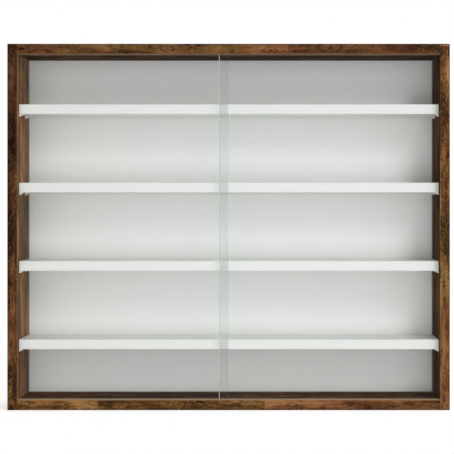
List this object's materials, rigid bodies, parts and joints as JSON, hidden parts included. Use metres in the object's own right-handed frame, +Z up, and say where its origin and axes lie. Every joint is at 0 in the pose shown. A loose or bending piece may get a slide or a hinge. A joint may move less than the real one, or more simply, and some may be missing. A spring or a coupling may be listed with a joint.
{
  "type": "wall display cabinet",
  "caption": "Shallow wall display cabinet with a dark wood-decor frame, white shelves and back panel, glass panes that slide in flush runners, and keyhole hangers.",
  "frame": {"origin": "middle of the cabinet's underside", "axes": "+Z up, +X to the right as seen from the front, +Y towards the wall, so the glass faces -Y"},
  "size_m": [0.72, 0.095, 0.596],
  "materials": {
    "wood_decor_board": "melamine-faced chipboard, dark rustic wood decor, satin",
    "wood_decor_band": "edge band printed in the same decor, satin",
    "white_board": "white melamine-faced chipboard, satin",
    "white_band": "white edge band, satin",
    "white_hardboard": "hardboard, white lacquered on the front",
    "clear_glass": "clear float glass with ground edges",
    "brown_plastic": "extruded plastic, satin",
    "white_plastic": "moulded plastic",
    "beech": "fluted beech",
    "zinc_casting": "zinc die casting",
    "zinc_plated_steel": "bright zinc plated"
  },
  "bodies": {
    "cabinet": {"left_side_panel": "wood_decor_board", "left_side_edge_band": "wood_decor_band", "left_hanger_plate": "zinc_plated_steel", "left_hanger_screws": "zinc_plated_steel", "right_side_panel": "wood_decor_board", "right_side_edge_band": "wood_decor_band", "right_hanger_plate": "zinc_plated_steel", "right_hanger_screws": "zinc_plated_steel", "top_panel": "wood_decor_board", "top_edge_band": "wood_decor_band", "top_runner": "brown_plastic", "top_dowels": "beech", "top_cam_locks": "zinc_casting", "top_cam_bolts": "zinc_plated_steel", "bottom_panel": "wood_decor_board", "bottom_edge_band": "wood_decor_band", "bottom_runner": "brown_plastic", "bottom_dowels": "beech", "bottom_cam_locks": "zinc_casting", "bottom_cam_bolts": "zinc_plated_steel", "back_panel": "white_hardboard", "shelf_1": "white_board", "shelf_1_edge_band": "white_band", "shelf_1_supports": "white_plastic", "shelf_2": "white_board", "shelf_2_edge_band": "white_band", "shelf_2_supports": "white_plastic", "shelf_3": "white_board", "shelf_3_edge_band": "white_band", "shelf_3_supports": "white_plastic", "shelf_4": "white_board", "shelf_4_edge_band": "white_band", "shelf_4_supports": "white_plastic"},
    "left_door": {"left_glass_door": "clear_glass"},
    "right_door": {"right_glass_door": "clear_glass"}
  },
  "joints": [
    {"name": "left_door_slide", "type": "slide", "parent": "cabinet", "child": "left_door", "axis": [1, 0, 0], "range_m": [0, 0.344]},
    {"name": "right_door_slide", "type": "slide", "parent": "cabinet", "child": "right_door", "axis": [1, 0, 0], "range_m": [-0.3275, 0]}
  ]
}
